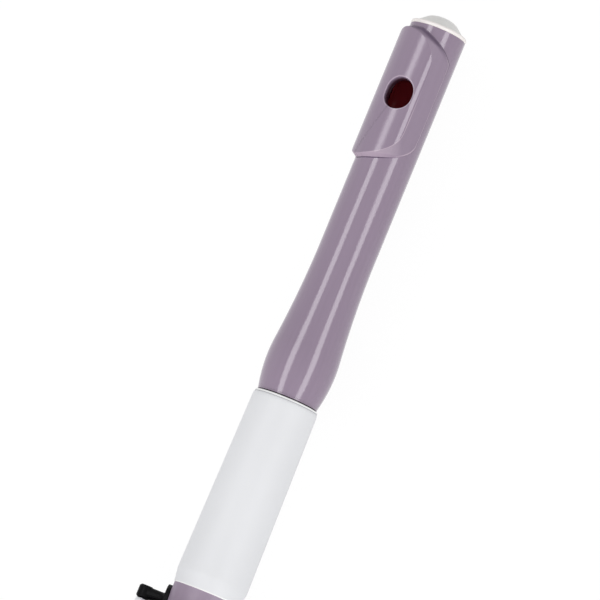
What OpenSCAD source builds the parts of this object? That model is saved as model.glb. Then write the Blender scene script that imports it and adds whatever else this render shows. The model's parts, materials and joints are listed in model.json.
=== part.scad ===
// Concert flute in C, moulded in plastic: head joint, barrel, body and foot joint with a full set of keys.
// X runs along the bore from head to foot, +Z is the side of the keys, -Y the player's side.
// The origin is on the bore axis at the open end of the foot joint. All sizes are in millimetres.
// Distances along the bore are counted from the middle of the embouchure hole.

/* [Bore and tubes] */
// Embouchure hole to the open end
sounding_length = 600; // [590:1:612]
// End correction used to space the tone holes
end_correction = 68.5; // [66:0.5:71]
// Bore of the body and the foot joint
bore_d = 19; // [18.6:0.1:19.4]
// Wall of the body and the foot joint
body_wall = 2.6; // [2.4:0.1:3]

/* [Head joint] */
// Wall of the straight part of the head tube
head_wall = 1.74; // [1.6:0.02:2]
// Narrowing of the bore from the body to the stopper, on each side
bore_taper = 0.9; // [0.8:0.05:1.1]
// Embouchure hole to the crown end of the tube
head_end = 27.1; // [26.4:0.1:28.4]
// Rise of the flare above the outside of the body
bulge_rise = 0.55; // [0.4:0.05:1]
// Relief groove between the swelling and the barrel
shoulder_groove = 0.4; // [0.2:0.05:0.6]
// Widest part of the flare to the barrel
bulge_to_barrel = 13; // [11:0.5:15]
// Length over which the tube swells
flare_length = 44; // [38:1:50]
// Wall of the tenon that slides in the barrel
tenon_wall = 1.6; // [1.5:0.05:1.7]
// Length of the tenon
tenon_length = 44; // [36:1:48]

/* [Lip plate] */
// Rise of the lip plate above the tube
plate_rise = 2.16; // [1.8:0.02:2.4]
// Length of the lip plate
plate_length = 49; // [46:0.2:50.4]
// Embouchure hole along the flute
hole_length = 11.8; // [11.2:0.1:12.4]
// Embouchure hole across the flute
hole_width = 10; // [9.6:0.1:10.6]
// Angle from the hole to the crease on the listener's side
crease_angle = 33; // [31:0.5:35]
// Turn of the upper edge of the bevel along that crease
bevel_angle = 23.5; // [21:0.5:26]
// Depth of the crease under the top of the plate
crease_drop = 0.37; // [0.2:0.01:0.5]
// Angle from the hole to the edge on the listener's side
wing_angle = 72; // [68:1:74]
// Angle from the hole to the edge on the player's side
cheek_angle = 112; // [100:1:118]
// Rounding of the outer corners
plate_corner = 8; // [6:0.5:10]
// Rounding of the end edges
plate_edge = 0.9; // [0.5:0.1:1.2]

/* [Crown and stopper] */
// Overhang of the crown flange past the tube
crown_over = 0.03; // [0:0.01:0.2]
// Thickness of the flange
crown_flange = 1.4; // [1:0.1:1.8]
// Rounding of the flange
crown_edge = 0.45; // [0.3:0.05:0.5]
// Ring of the flange outside the ball of the dome
crown_ring = 1.75; // [1.2:0.05:2.4]
// Dome above the flange
crown_dome_h = 4.4; // [4:0.05:5]
// Depth of the spigot in the tube
crown_spigot = 1.6; // [1.2:0.1:1.8]
// Embouchure hole to the face of the stopper
stopper_at = 17; // [16.6:0.1:17.4]
// Length of the stopper
stopper_length = 5.6; // [5:0.1:6]
// Threaded stem between stopper and crown
stem_d = 5; // [4:0.1:6]
// Stem inside the crown
stem_grip = 3; // [2.5:0.1:3.2]
// Thickness of the O-rings
o_ring = 1; // [0.8:0.05:1.1]

/* [Barrel] */
// Length of the barrel
barrel_length = 73.8; // [72:0.1:76]
// Depth of the mouth's edge below the outside of the body
barrel_mouth_in = 0.1; // [0:0.02:0.2]
// Rise of its widest ring above the outside of the body
barrel_swell = 0.95; // [0.7:0.05:1.4]
// Bevel at the lower end
barrel_bevel = 5.2; // [4:0.1:6]
// Bevel round the lip of the mouth
barrel_lip = 0.35; // [0.2:0.05:0.4]
// Width and depth of the groove under the bead
bead_groove = 0.2; // [0.1:0.05:0.3]
// Body tenon glued in the barrel
body_tenon = 24; // [22:1:25]
// Barrel to the first trill hole
trill_to_barrel = 13.6; // [13.2:0.1:16]

/* [Foot joint] */
// Body tenon in the foot socket
foot_tenon = 12.5; // [11:0.5:13]
// Wall of that tenon
foot_tenon_wall = 1.3; // [1.2:0.05:1.5]

/* [Tone holes] */
// Large holes of the body
hole_d = 14; // [13.4:0.1:14.4]
// Holes of the foot joint
foot_hole_d = 15; // [14.4:0.1:15.2]
// Small holes of the upper end
small_hole_d = 7.6; // [7:0.1:8]
// Small holes are set higher up by this much
small_hole_raise = 11.7; // [11:0.1:12.4]
// Wall of the chimneys
chimney_wall = 1.2; // [1:0.05:1.4]
// Chimneys above the tube
seat_height = 2.2; // [1.8:0.1:2.8]
// Turn of the two G holes toward the listener's side
g_offset = 20; // [16:1:24]
// Turn of the thumb hole toward the player's side
thumb_turn = 140; // [136:1:145]
// Turn of the G sharp hole toward the listener's side
g_sharp_turn = 100; // [96:1:104]

/* [Keys] */
// Cups reach past the chimneys by this much
cup_overlap = 0.9; // [0.7:0.05:1.1]
// Wall of the cups round the pads
cup_wall = 0.75; // [0.6:0.05:0.85]
// Plate of the cups over the pads
cup_plate = 1.4; // [1.2:0.1:1.8]
// Rounding of the cups
cup_edge = 0.8; // [0.5:0.1:1]
// Depth of the finger dish
cup_dish = 0.5; // [0.3:0.05:0.7]
// Thickness of the pads
pad_t = 2.4; // [2:0.1:2.8]
// Pads stand out of the cups
pad_proud = 0.9; // [0.7:0.05:1.1]
// Thickness of the key arms
arm_t = 2.4; // [2.1:0.1:2.6]
// Width of the arms at the hinge
arm_wide = 7; // [6:0.1:8]
// Width of the arms at the cup
arm_narrow = 4.6; // [4:0.1:5.5]
// Lift of the keys that stand open
key_lift = 8; // [6:0.5:9]
// Length of the finger touches
touch_length = 13; // [11:0.5:14]
// Width of the finger touches
touch_width = 9; // [8:0.5:10]
// Thickness of the finger touches
touch_t = 2.2; // [2:0.1:2.6]

/* [Rods and posts] */
// Steel rods
rod_d = 2; // [1.8:0.05:2.2]
// Hinge tubes of the keys
hinge_d = 4.6; // [4.2:0.1:4.8]
// Rods of the main keys above the tube
hinge_height = 8.4; // [8:0.1:9]
// Turn of those rods from their holes
hinge_turn = 57; // [55:0.5:59]
// Trill rod above the tube
trill_height = 9.2; // [8.6:0.1:9.8]
// Turn of the trill rod
trill_turn = 84; // [82:0.5:86]
// Width of the post heads
post_w = 4.8; // [4.2:0.1:5]
// Diameter of the post heads
post_head_d = 5.2; // [4.8:0.1:5.4]
// Bevel round the ends of that eye
post_edge = 0.6; // [0.4:0.05:0.7]
// Waist of the posts
post_waist_d = 4.4; // [3.2:0.1:4.6]
// Rounding between waist and foot
post_fillet = 2; // [1.6:0.1:2.2]
// Saddle under a post that stands alone
post_foot_d = 11.4; // [10:0.1:11.8]
// Thickness of the ribs
rib_t = 1.6; // [1.4:0.1:1.8]
// Half the width of the ribs, as an angle
rib_half = 15; // [13:0.5:16]
// Needle springs
spring_d = 0.8; // [0.6:0.05:0.9]
// Length of the needle springs
spring_length = 18; // [15:0.5:18]

/* [Clearances] */
// Round a turning rod
running = 0.05; // [0.03:0.01:0.08]
// Between the ends of neighbouring hinge tubes
end_play = 0.15; // [0.1:0.05:0.25]
// Under a pad that is shut
pad_gap = 0.1; // [0.08:0.01:0.15]
// Between parts of the head joint that slide
slide_gap = 0.05; // [0.03:0.01:0.08]

/* [Hidden] */
$fn = 96;
smooth = 256;
// Depth by which a hollow side is sunk into the piece it runs out on, so that the two surfaces cross
flare_dip = 0.02;
mauve = "#9b8b9c";
white = "#e8e9ea";
black = "#1a1a1d";
steel = "#b9bcc0";
pad_white = "#dedbd2";
rubber = "#26262a";
through = 1;
bore_r = bore_d / 2;
body_r = bore_r + body_wall;
head_bore_r = bore_r - bore_taper;
head_r = head_bore_r + head_wall;
bulge_r = body_r + bulge_rise;
bulge_d = 2 * bulge_r;
tenon_r = bore_r + tenon_wall;
plate_r = head_r + plate_rise;
plate_d = 2 * plate_r;
crown_r = head_r + crown_over;
stem_r = stem_d / 2;
rod_r = rod_d / 2;
rod_hole_r = rod_r + running;
hinge_tube_r = hinge_d / 2;
foot_tenon_r = bore_r + foot_tenon_wall;
body_tenon_r = (tenon_r + body_r) / 2;
hole_r = hole_d / 2;
foot_hole_r = foot_hole_d / 2;
small_hole_r = small_hole_d / 2;

function hole_at(semitone, raise = 0) =
    (sounding_length + end_correction) * pow(2, -semitone / 12) - end_correction - raise;
at_low_c = hole_at(1);
at_low_c_sharp = hole_at(2);
at_e_flat = hole_at(3);
at_d = hole_at(4);
at_e = hole_at(5);
at_f = hole_at(6);
at_f_sharp = hole_at(7);
at_g_low = hole_at(8);
at_g_high = hole_at(9);
at_a = hole_at(10);
at_b_flat = hole_at(11);
at_thumb = hole_at(12);
at_c_sharp = hole_at(13, small_hole_raise);
at_d_trill = hole_at(14, small_hole_raise);
at_d_sharp_trill = hole_at(15, small_hole_raise);

body_start = at_d_sharp_trill - trill_to_barrel;
barrel_start = body_start - barrel_length;
bulge_at = barrel_start - bulge_to_barrel;
flare_from = bulge_at - flare_length;
tenon_end = barrel_start + tenon_length;
foot_start = at_e_flat - foot_hole_r - chimney_wall - foot_tenon;

// Heights in the frame of a tone hole, for a key that is shut
seat_z = body_r + seat_height;
pad_z = seat_z + pad_gap;
rim_z = pad_z + pad_proud;
ceiling_z = pad_z + pad_t;
cup_z = ceiling_z + cup_plate;
arm_z = cup_z - arm_t / 2 - cup_edge / 4;
function chimney_r(r) = r + chimney_wall;
function cup_r(r) = chimney_r(r) + cup_overlap;
function recess_r(r) = cup_r(r) - cup_wall;
// Radius of the sphere that hollows or domes a disc by some depth
function cap_r(r, depth) = (r * r + depth * depth) / (2 * depth);

// Rods, each given by its angle round the bore and its distance from the bore axis
main_r = body_r + hinge_height;
trill_r = body_r + trill_height;
main_a = -hinge_turn;
trill_a = -trill_turn;
g_a = g_offset - hinge_turn;
thumb_a = -thumb_turn - hinge_turn;
g_sharp_a = g_sharp_turn + hinge_turn;

// Post positions along the bore
post_step = post_w / 2 + end_play;
rod_over = post_w / 2;
c_sharp_post = at_c_sharp - cup_r(small_hole_r) - post_w;
b_flat_post = at_b_flat - cup_r(hole_r) - post_w;
a_post = at_a + cup_r(hole_r) + post_w / 2;
g_posts = [at_g_high - arm_wide / 2 - post_step, at_g_low + arm_wide / 2 + post_step];
f_sharp_post = at_f_sharp - cup_r(hole_r) - post_w;
f_e_post = (at_f + at_e) / 2;
d_post = foot_start - post_w / 2 - 2 * end_play;
thumb_posts = [at_thumb - cup_r(hole_r) - post_w / 2, at_b_flat + touch_length];
g_sharp_posts = [at_g_low - cup_r(hole_r) - post_w / 2, at_g_low + cup_r(hole_r) + post_w / 2];
d_touch = (at_f + at_e) / 2;
d_sharp_touch = (at_e + at_d) / 2;
trill_posts_at = [at_d_sharp_trill - cup_r(small_hole_r) - 4 * end_play,
    (d_touch + d_sharp_touch) / 2, d_sharp_touch + touch_width];
foot_posts_at = [at_e_flat - cup_r(foot_hole_r) - post_w / 2, at_low_c + cup_r(foot_hole_r) + post_w / 2];
foot_touch_w = (at_low_c_sharp - at_e_flat - 2 * cup_r(foot_hole_r) - 4 * end_play) / 2;
foot_touch_at = at_e_flat + cup_r(foot_hole_r) + end_play;

// Tone holes as distance, angle and radius
body_holes = [
    [at_d_sharp_trill, 0, small_hole_r],
    [at_d_trill, 0, small_hole_r],
    [at_c_sharp, 0, small_hole_r],
    [at_thumb, -thumb_turn, hole_r],
    [at_b_flat, 0, hole_r],
    [at_a, 0, hole_r],
    [at_g_high, g_offset, hole_r],
    [at_g_low, g_offset, hole_r],
    [at_g_low, g_sharp_turn, hole_r],
    [at_f_sharp, 0, hole_r],
    [at_f, 0, hole_r],
    [at_e, 0, hole_r],
    [at_d, 0, hole_r]
];
foot_holes = [
    [at_e_flat, 0, foot_hole_r],
    [at_low_c_sharp, 0, foot_hole_r],
    [at_low_c, 0, foot_hole_r]
];

// Placing helpers
module along(d) translate([d - sounding_length, 0, 0]) children();
// Turns the top of the flute toward the listener's side
module turned(a) rotate([-a, 0, 0]) children();
// Turns a profile of radius and distance round the bore axis
module lathe() rotate([0, 90, 0]) rotate_extrude() children();
// A round bar along the bore
module bar(d0, d1, r) along(d0) rotate([0, 90, 0]) cylinder(r = r, h = d1 - d0);
// The same bar on a rod's axis
module on_rod(a, far) turned(a) translate([0, 0, far]) children();
// Turns a key about its rod
module swung(a, far, lift)
    on_rod(a, far)
    rotate([lift, 0, 0])
    translate([0, 0, -far])
    turned(-a)
    children();
// A piece of a shell round the bore between two angles
module sector(d0, d1, r0, r1, a0, a1)
    along(d0)
    turned(a1 - 180)
    rotate([0, 90, 0])
    rotate_extrude(angle = a1 - a0)
    translate([r0, 0])
    square([r1 - r0, d1 - d0]);
// A flat bar with round ends between two points
module bar2d(p, q, t) {
    translate(p) circle(d = t);
    translate(q) circle(d = t);
    translate(p)
        rotate(atan2(q[1] - p[1], q[0] - p[0]))
        translate([0, -t / 2])
        square([norm(q - p), t]);
}
// Stands a drawing of Y and Z upright and gives it a width along X
module upright(w) rotate([90, 0, 90]) translate([0, 0, -w / 2]) linear_extrude(w) children();

// Tone holes
module chimneys(holes) for (h = holes) along(h[0]) turned(h[1]) cylinder(r = chimney_r(h[2]), h = seat_z);
module hole_cuts(holes) for (h = holes) along(h[0]) turned(h[1]) cylinder(r = h[2], h = seat_z + through);
module chimney_room(holes)
    for (h = holes)
        along(h[0])
        turned(h[1])
        cylinder(r = chimney_r(h[2]) + slide_gap, h = seat_z + through);

// Posts
module post_foot(far) {
    waist = post_waist_d / 2;
    foot = waist + post_fillet;
    waist_z = body_r + rib_t / 2 + post_fillet;
    rotate_extrude()
        difference() {
            translate([0, body_r - rib_t]) square([foot, waist_z - body_r + rib_t]);
            translate([foot, waist_z]) circle(post_fillet);
        }
    translate([0, 0, waist_z - through]) cylinder(r = waist, h = far - waist_z + through);
}
module post(d, a, far) {
    eye = post_head_d / 2;
    wide = post_w / 2;
    along(d) turned(a) {
        post_foot(far);
        translate([0, 0, far])
            rotate([0, 90, 0])
            rotate_extrude()
            polygon([[0, -wide], [eye - post_edge, -wide], [eye, post_edge - wide],
                [eye, wide - post_edge], [eye - post_edge, wide], [0, wide]]);
    }
}
// Cuts that seat posts and ribs on the tube and open the way for the rod
module post_cuts(d0, d1, a, far) {
    bar(d0 - post_foot_d, d1 + post_foot_d, body_r);
    on_rod(a, far) bar(d0 - post_w, d1 + post_w, rod_hole_r);
}
module rib(posts, a, far, holes) {
    first = posts[0] - post_step;
    last = posts[len(posts) - 1] + post_step;
    difference() {
        intersection() {
            union() {
                sector(first - through, last + through, body_r - through, body_r + rib_t,
                    a - rib_half, a + rib_half);
                for (d = posts) post(d, a, far);
            }
            along(first) translate([0, -2 * far, -2 * far]) cube([last - first, 4 * far, 4 * far]);
        }
        post_cuts(first, last, a, far);
        chimney_room(holes);
    }
}
// Foot of a lone post, bent to the tube
module saddle(d, a)
    intersection() {
        sector(d - post_foot_d, d + post_foot_d, body_r - through, body_r + rib_t,
            a - 3 * rib_half, a + 3 * rib_half);
        along(d) turned(a) cylinder(d = post_foot_d, h = 2 * body_r);
    }
module lone_posts(posts, a, far, holes)
    difference() {
        for (d = posts) {
            post(d, a, far);
            saddle(d, a);
        }
        post_cuts(posts[0], posts[len(posts) - 1], a, far);
        chimney_room(holes);
    }
// Slotted rod from the outside of one post to the outside of another
module rod(d0, d1, a, far)
    on_rod(a, far)
    difference() {
        bar(d0 - rod_over, d1 + rod_over, rod_r);
        along(d1 + rod_over) cube([rod_r, rod_d + through, rod_r / 3], center = true);
    }
// Needle spring pressed into the waist of a post, side +1 toward the foot
module spring(d, side, a, far)
    turned(a)
    translate([0, 0, far - hinge_tube_r - spring_d])
    bar(min(d, d + side * spring_length), max(d, d + side * spring_length), spring_d / 2);

// Parts of a key, in the frame of its tone hole
module cup_blank(r) {
    big = cup_r(r);
    hollow = big - cup_edge - cup_wall;
    ball = cap_r(hollow, cup_dish);
    rotate_extrude()
        difference() {
            union() {
                translate([0, rim_z]) square([big, cup_z - rim_z - cup_edge]);
                translate([0, rim_z]) square([big - cup_edge, cup_z - rim_z]);
                translate([big - cup_edge, cup_z - cup_edge]) circle(cup_edge);
            }
            translate([0, cup_z - cup_dish + ball]) circle(ball);
        }
}
module pad_room(r)
    translate([0, 0, rim_z - through])
    cylinder(r = recess_r(r), h = ceiling_z - rim_z + through);
module pad(r) {
    edge = pad_proud / 3;
    big = recess_r(r) - running;
    rotate_extrude() {
        translate([0, pad_z + edge]) square([big, pad_t - edge]);
        translate([0, pad_z]) square([big - edge, pad_t]);
        translate([big - edge, pad_z + edge]) circle(edge);
    }
}
// Swan-necked arm from a hinge at -Y to a disc of some radius, tapered in plan
module arm(turn, far, big, wide = arm_wide, narrow = arm_narrow) {
    hy = far * sin(turn);
    hz = far * cos(turn);
    tip = big - cup_wall - running;
    drop = arm_z - hz;
    bend = cap_r(hy - tip, drop);
    intersection() {
        upright(wide)
            intersection() {
                translate([-tip, arm_z - bend])
                    difference() {
                        circle(bend + arm_t / 2);
                        circle(bend - arm_t / 2);
                    }
                translate([-hy - arm_t, hz]) square([hy - tip + arm_t, drop + arm_t]);
            }
        linear_extrude(2 * far)
            polygon([[-wide / 2, -hy - arm_t], [wide / 2, -hy - arm_t],
                [narrow / 2, -tip], [-narrow / 2, -tip]]);
    }
}
module hinge_tube(d0, d1, a, far) on_rod(a, far) bar(d0, d1, hinge_tube_r);
module hinge_bore(d0, d1, a, far) on_rod(a, far) bar(d0 - through, d1 + through, rod_hole_r);
// Finger touch, rounded across its top, lying in X and Y
module touch(l, w) {
    vault = cap_r(w / 2, touch_t / 3);
    intersection() {
        linear_extrude(touch_t + through) bar2d([-(l - w) / 2, 0], [(l - w) / 2, 0], w);
        translate([0, 0, touch_t - vault]) rotate([0, 90, 0]) cylinder(r = vault, h = 2 * l, center = true);
    }
}
// Key with one cup, its hole at distance d and angle a, its rod turned from the hole toward -Y
module key_blank(d, a, r, turn, far, d0, d1) {
    along(d) turned(a) {
        cup_blank(r);
        arm(turn, far, cup_r(r));
    }
    hinge_tube(d0, d1, a - turn, far);
}
module key_cuts(d, a, r, turn, far, d0, d1) {
    along(d) turned(a) pad_room(r);
    hinge_bore(d0, d1, a - turn, far);
}
module simple_key(d, a, r, turn, far, d0, d1)
    difference() {
        key_blank(d, a, r, turn, far, d0, d1);
        key_cuts(d, a, r, turn, far, d0, d1);
    }
module main_key(d, r, d0, d1)
    swung(main_a, main_r, key_lift)
    simple_key(d, 0, r, hinge_turn, main_r, d0, d1);
module main_pad(d, r) swung(main_a, main_r, key_lift) along(d) pad(r);

// Head joint
module flare_profile() {
    dr = bulge_r - head_r;
    swell = cap_r(bulge_to_barrel, bulge_r - tenon_r);
    hollow = cap_r(flare_length, dr) - swell;
    share = hollow / (hollow + swell);
    turn_at = flare_from + flare_length * share;
    lap = bulge_to_barrel / 5;
    translate([0, -head_end]) square([head_r, bulge_at + head_end]);
    difference() {
        translate([0, flare_from]) square([head_r + dr * share, turn_at - flare_from]);
        translate([head_r + hollow - flare_dip, flare_from]) circle(hollow, $fn = smooth);
    }
    intersection() {
        translate([bulge_r - swell, bulge_at]) circle(swell, $fn = smooth);
        translate([0, turn_at - lap]) square([bulge_d, barrel_start - turn_at + 2 * lap]);
    }
    translate([0, bulge_at]) square([tenon_r, tenon_end - bulge_at]);
}
module embouchure_cut(depth) {
    side = (hole_length - hole_width) / 2;
    translate([0, 0, depth])
        linear_extrude(plate_d)
        bar2d([-side, 0], [side, 0], hole_width);
}
module tenon_grooves(gap)
    for (share = [0.3, 0.7])
        translate([tenon_r - o_ring - gap, barrel_start + share * tenon_length - o_ring / 2 - gap])
        square([o_ring + gap + through, o_ring + 2 * gap]);
module head_tube()
    color(mauve)
    along(0)
    difference() {
        lathe()
            difference() {
                flare_profile();
                polygon([[0, -head_end - through], [head_bore_r, -head_end - through],
                    [head_bore_r, head_end], [bore_r, barrel_start],
                    [bore_r, tenon_end + through], [0, tenon_end + through]]);
                translate([tenon_r - shoulder_groove, barrel_start - shoulder_groove])
                    square([bulge_d, shoulder_groove + slide_gap]);
                tenon_grooves(slide_gap);
            }
        embouchure_cut(0);
    }
module lip_plate() {
    half = plate_length / 2;
    crease = [sin(crease_angle), cos(crease_angle)] * (plate_r - crease_drop);
    bevel = [sin(bevel_angle), cos(bevel_angle)] * plate_r;
    rise = (plate_r - head_r) * 0.1;
    edge = [(head_r + rise) * sin(wing_angle), (head_r + rise) * cos(wing_angle)];
    top = crease + (bevel - crease) / norm(bevel - crease) * plate_d;
    color(mauve)
        along(0)
        difference() {
            intersection() {
                turned(wing_angle - 180)
                    rotate([0, 90, 0])
                    rotate_extrude(angle = wing_angle + cheek_angle) {
                        translate([head_r, -half]) square([plate_r - head_r - plate_edge, plate_length]);
                        translate([head_r, -half + plate_edge])
                            square([plate_r - head_r, plate_length - 2 * plate_edge]);
                        for (s = [-1, 1])
                            translate([plate_r - plate_edge, s * (half - plate_edge)]) circle(plate_edge);
                    }
                // A narrow bevel, then the flat that falls from the crease to the tube
                upright(plate_length + through)
                    polygon([edge, crease, top, [-plate_d, top[1]], [-plate_d, -plate_d], [0, -plate_d],
                        [0, 0], edge / 2]);
                // Outline seen from the listener's side of the hole
                turned(crease_angle)
                    translate([0, 0, -plate_d])
                    linear_extrude(2 * plate_d)
                    union() {
                        translate([-half, -plate_d]) square([plate_length, plate_d - plate_corner / 2]);
                        translate([-half + plate_corner, -plate_d])
                            square([plate_length - 2 * plate_corner, 2 * plate_d]);
                        for (s = [-1, 1])
                            translate([s * (half - plate_corner), -plate_corner / 2]) circle(plate_corner);
                    }
            }
            embouchure_cut(0);
        }
}
module crown() {
    rim = crown_r - crown_edge;
    ball = cap_r(rim - crown_ring, crown_dome_h);
    skirt = cap_r(rim, crown_dome_h) - ball;
    ball_z = crown_flange + crown_dome_h - ball;
    meet_z = ball_z + (crown_flange + skirt - ball_z) * ball / (ball + skirt);
    color(white)
        along(-head_end)
        rotate([0, -90, 0])
        rotate_extrude()
        difference() {
            union() {
                square([rim, crown_flange]);
                translate([0, crown_edge]) square([crown_r, crown_flange - 2 * crown_edge]);
                for (z = [crown_edge, crown_flange - crown_edge]) translate([rim, z]) circle(crown_edge);
                intersection() {
                    translate([0, ball_z]) circle(ball, $fn = smooth);
                    translate([0, crown_flange / 2]) square([crown_r, 2 * crown_r]);
                }
                // Hollow skirt between the dome and the flange
                difference() {
                    translate([0, crown_flange / 2]) square([rim, meet_z - crown_flange / 2]);
                    translate([rim, crown_flange + skirt - flare_dip]) circle(skirt, $fn = smooth);
                }
                translate([0, -crown_spigot]) square([head_bore_r - slide_gap, crown_spigot + through]);
            }
            translate([0, -crown_spigot - through])
                square([stem_r + running, crown_spigot + through + stem_grip + crown_flange / 2]);
        }
}
module stopper() {
    back = -stopper_at - stopper_length;
    groove = -stopper_at - stopper_length / 2;
    color(white)
        along(0)
        lathe() {
            difference() {
                translate([0, back]) square([head_bore_r - slide_gap, stopper_length]);
                translate([head_bore_r - slide_gap - o_ring, groove - o_ring / 2 - slide_gap])
                    square([o_ring + through, o_ring + 2 * slide_gap]);
            }
            translate([0, -head_end - stem_grip]) square([stem_r, head_end + stem_grip + back + through]);
        }
}
module stopper_o_ring()
    color(rubber)
    along(0)
    lathe()
    translate([head_bore_r - slide_gap / 2 - o_ring / 2, -stopper_at - stopper_length / 2])
    circle(d = o_ring);
module tenon_o_rings()
    color(rubber)
    along(0)
    lathe()
    for (share = [0.3, 0.7])
        translate([tenon_r - o_ring / 2, barrel_start + share * tenon_length]) circle(d = o_ring);

// Barrel and body
module barrel() {
    mouth = body_r - barrel_mouth_in;
    wide = body_r + barrel_swell;
    seat = tenon_r + slide_gap;
    bevel_from = barrel_length - barrel_bevel;
    color(white)
        along(barrel_start)
        lathe()
        difference() {
            polygon([[seat, 0], [mouth - barrel_lip, 0], [mouth, barrel_lip], [wide, bevel_from],
                [body_r, barrel_length], [seat, barrel_length]]);
            translate([mouth - bead_groove, 3 * barrel_lip]) square([bead_groove + barrel_swell, bead_groove]);
            translate([0, barrel_length - body_tenon]) square([body_tenon_r, body_tenon + through]);
        }
}
module body_tube()
    color(mauve)
    difference() {
        union() {
            bar(body_start - body_tenon, body_start + through, body_tenon_r);
            bar(body_start, foot_start, body_r);
            bar(foot_start - through, foot_start + foot_tenon, foot_tenon_r);
            chimneys(body_holes);
        }
        bar(body_start - body_tenon - through, foot_start + foot_tenon + through, bore_r);
        hole_cuts(body_holes);
    }
module left_hand_rib() color(black) rib([c_sharp_post, b_flat_post, a_post], main_a, main_r, body_holes);
module right_hand_rib() color(black) rib([f_sharp_post, f_e_post, d_post], main_a, main_r, body_holes);
module g_posts() color(black)
    difference() {
        lone_posts(g_posts, g_a, main_r, body_holes);
        // Room for the ends of the two ribs
        for (d = [a_post, f_sharp_post])
            sector(d - post_w / 2 - 2 * end_play, d + post_w / 2 + 2 * end_play, 0, main_r - hinge_d,
                main_a - 2 * rib_half, main_a + 2 * rib_half);
    }
module trill_posts() color(black)
    difference() {
        lone_posts(trill_posts_at, trill_a, trill_r, body_holes);
        sector(f_sharp_post - post_foot_d, d_post + post_foot_d, 0, main_r,
            main_a - rib_half - slide_gap, main_a + rib_half);
    }
module thumb_rib() color(black) rib(thumb_posts, thumb_a, main_r, body_holes);
module g_sharp_rib() color(black) rib(g_sharp_posts, g_sharp_a, main_r, body_holes);
module left_hand_rod() color(steel) rod(c_sharp_post, a_post, main_a, main_r);
module right_hand_rod() color(steel) rod(f_sharp_post, d_post, main_a, main_r);
module g_rod() color(steel) rod(g_posts[0], g_posts[1], g_a, main_r);
module thumb_rod() color(steel) rod(thumb_posts[0], thumb_posts[1], thumb_a, main_r);
module g_sharp_rod() color(steel) rod(g_sharp_posts[0], g_sharp_posts[1], g_sharp_a, main_r);
module needle_springs() color(steel) {
    spring(c_sharp_post, 1, main_a, main_r);
    spring(b_flat_post, 1, main_a, main_r);
    spring(a_post, -1, main_a, main_r);
    spring(f_sharp_post, 1, main_a, main_r);
    spring(f_e_post, -1, main_a, main_r);
    spring(d_post, -1, main_a, main_r);
    spring(g_posts[0], 1, g_a, main_r);
    spring(thumb_posts[0], 1, thumb_a, main_r);
    spring(thumb_posts[1], -1, thumb_a, main_r);
    spring(g_sharp_posts[0], 1, g_sharp_a, main_r);
    spring(trill_posts_at[1], -1, trill_a, trill_r);
}

// Keys on the main rods
c_sharp_span = [c_sharp_post + post_step, b_flat_post - post_step];
module c_sharp_key() {
    plate = touch_length / 2;
    plate_at = at_c_sharp + cup_r(small_hole_r) + plate + end_play;
    color(white)
        swung(main_a, main_r, key_lift)
        difference() {
            union() {
                key_blank(at_c_sharp, 0, small_hole_r, hinge_turn, main_r,
                    c_sharp_span[0], c_sharp_span[1]);
                along(plate_at) {
                    translate([0, 0, cup_z - touch_t]) touch(touch_length + through / 100, touch_length);
                    arm(hinge_turn, main_r, plate);
                }
            }
            key_cuts(at_c_sharp, 0, small_hole_r, hinge_turn, main_r, c_sharp_span[0], c_sharp_span[1]);
        }
}
module c_sharp_pad() color(pad_white) main_pad(at_c_sharp, small_hole_r);
b_flat_a_meet = (at_b_flat + at_a) / 2;
module b_flat_key() color(white)
    main_key(at_b_flat, hole_r, b_flat_post + post_step, b_flat_a_meet - end_play / 2);
module b_flat_pad() color(pad_white) main_pad(at_b_flat, hole_r);
module a_key() color(white) main_key(at_a, hole_r, b_flat_a_meet + end_play / 2, a_post - post_step);
module a_pad() color(pad_white) main_pad(at_a, hole_r);
g_span = [g_posts[0] + post_step, g_posts[1] - post_step];
module g_key() color(white)
    swung(g_a, main_r, key_lift)
    difference() {
        union() {
            for (d = [at_g_high, at_g_low]) along(d) turned(g_offset) {
                cup_blank(hole_r);
                arm(hinge_turn, main_r, cup_r(hole_r));
            }
            hinge_tube(g_span[0], g_span[1], g_a, main_r);
        }
        for (d = [at_g_high, at_g_low]) along(d) turned(g_offset) pad_room(hole_r);
        hinge_bore(g_span[0], g_span[1], g_a, main_r);
    }
module g_pads() color(pad_white)
    swung(g_a, main_r, key_lift)
    for (d = [at_g_high, at_g_low]) along(d) turned(g_offset) pad(hole_r);
f_sharp_f_meet = (at_f_sharp + at_f) / 2;
e_d_meet = (at_e + at_d) / 2;
module f_sharp_key() color(white)
    main_key(at_f_sharp, hole_r, f_sharp_post + post_step, f_sharp_f_meet - end_play / 2);
module f_sharp_pad() color(pad_white) main_pad(at_f_sharp, hole_r);
module f_key() color(white) main_key(at_f, hole_r, f_sharp_f_meet + end_play / 2, f_e_post - post_step);
module f_pad() color(pad_white) main_pad(at_f, hole_r);
module e_key() color(white) main_key(at_e, hole_r, f_e_post + post_step, e_d_meet - end_play / 2);
module e_pad() color(pad_white) main_pad(at_e, hole_r);
module d_key() color(white) main_key(at_d, hole_r, e_d_meet + end_play / 2, d_post - post_step);
module d_pad() color(pad_white) main_pad(at_d, hole_r);

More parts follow.
